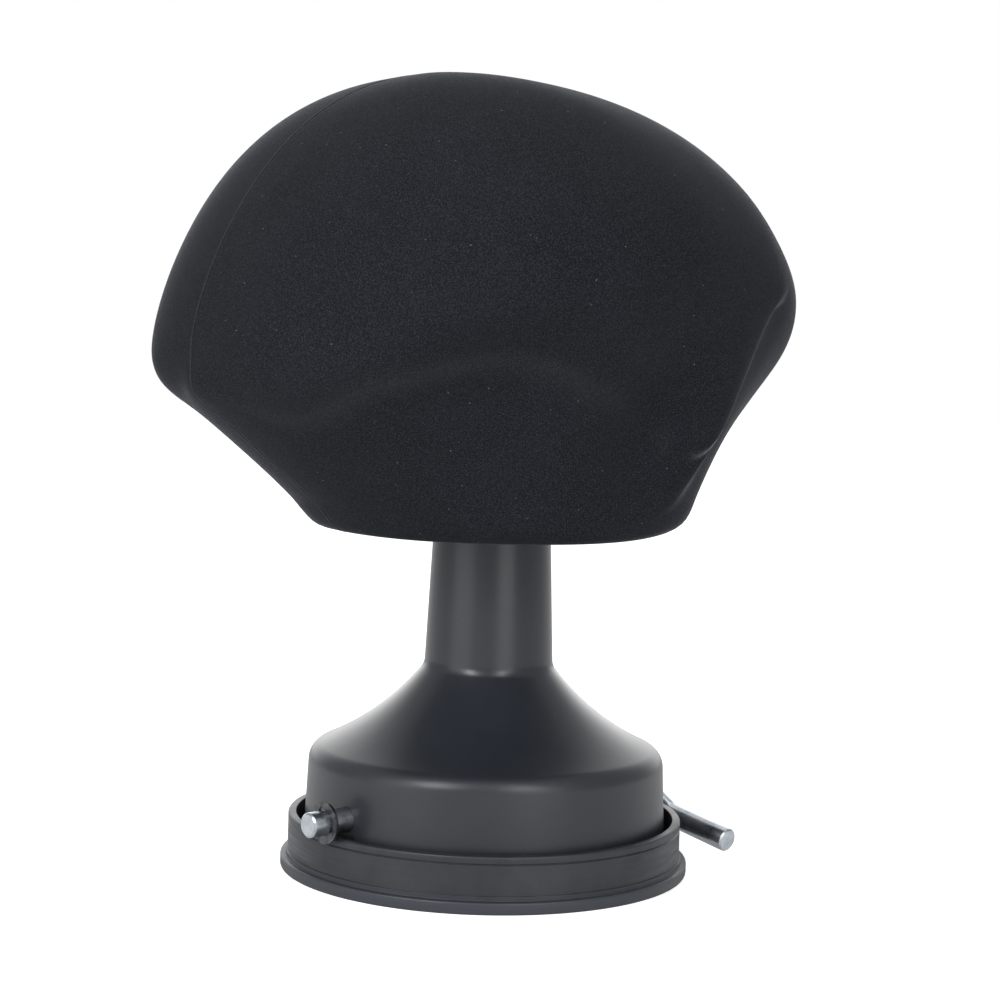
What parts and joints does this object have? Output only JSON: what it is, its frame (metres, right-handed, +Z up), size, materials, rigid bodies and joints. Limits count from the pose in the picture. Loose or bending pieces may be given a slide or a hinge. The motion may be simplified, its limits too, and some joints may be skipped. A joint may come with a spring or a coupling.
{
  "type": "wig_stand",
  "caption": "Wig stand: a flocked black moulded head on a bell-shaped foot with a rubber suction cup, clamped to a table by a bent steel lever.",
  "frame": {"origin": "on the table plane, under the axis of the bell", "axes": "+Z up along the bell's axis; the face side looks towards -Y and the nape towards +Y; the lever shaft lies along Y and its arm points to -X when the cup is released"},
  "size_m": [0.1737, 0.1937, 0.2265],
  "materials": {
    "flocked_black": "nylon flock on a moulded shell, matt and velvety",
    "moulded_plastic": "as moulded",
    "gloss_black": "moulded, satin to gloss black",
    "black_rubber": "moulded rubber, soft sheen",
    "zinc_steel": "zinc plated, semi-bright",
    "spring_steel": "blued spring steel"
  },
  "bodies": {
    "root": {"head_shell_left": "flocked_black", "head_shell_right": "flocked_black", "head_socket": "moulded_plastic", "head_screw": "zinc_steel", "head_washer": "zinc_steel", "head_nut": "zinc_steel", "bell_housing": "gloss_black", "suction_cup": "black_rubber"},
    "lever": {"lever_shaft": "zinc_steel", "eccentric_cam": "zinc_steel", "cam_pin": "spring_steel", "e_clip": "spring_steel"},
    "stud": {"lift_stud": "zinc_steel", "cup_insert": "zinc_steel"}
  },
  "joints": [
    {"name": "lever_turn", "type": "hinge", "parent": "root", "child": "lever", "pos_m": [0, 0, 0.0197], "axis": [0, 1, 0], "range_deg": [0, 180]},
    {"name": "stud_lift", "type": "slide", "parent": "root", "child": "stud", "axis": [0, 0, 1], "range_m": [0, 0.003], "deforming": ["suction_cup"]}
  ],
  "couplings": [
    {"joint": "stud_lift", "follows": "lever_turn", "m_per_rad": 0.00095}
  ]
}
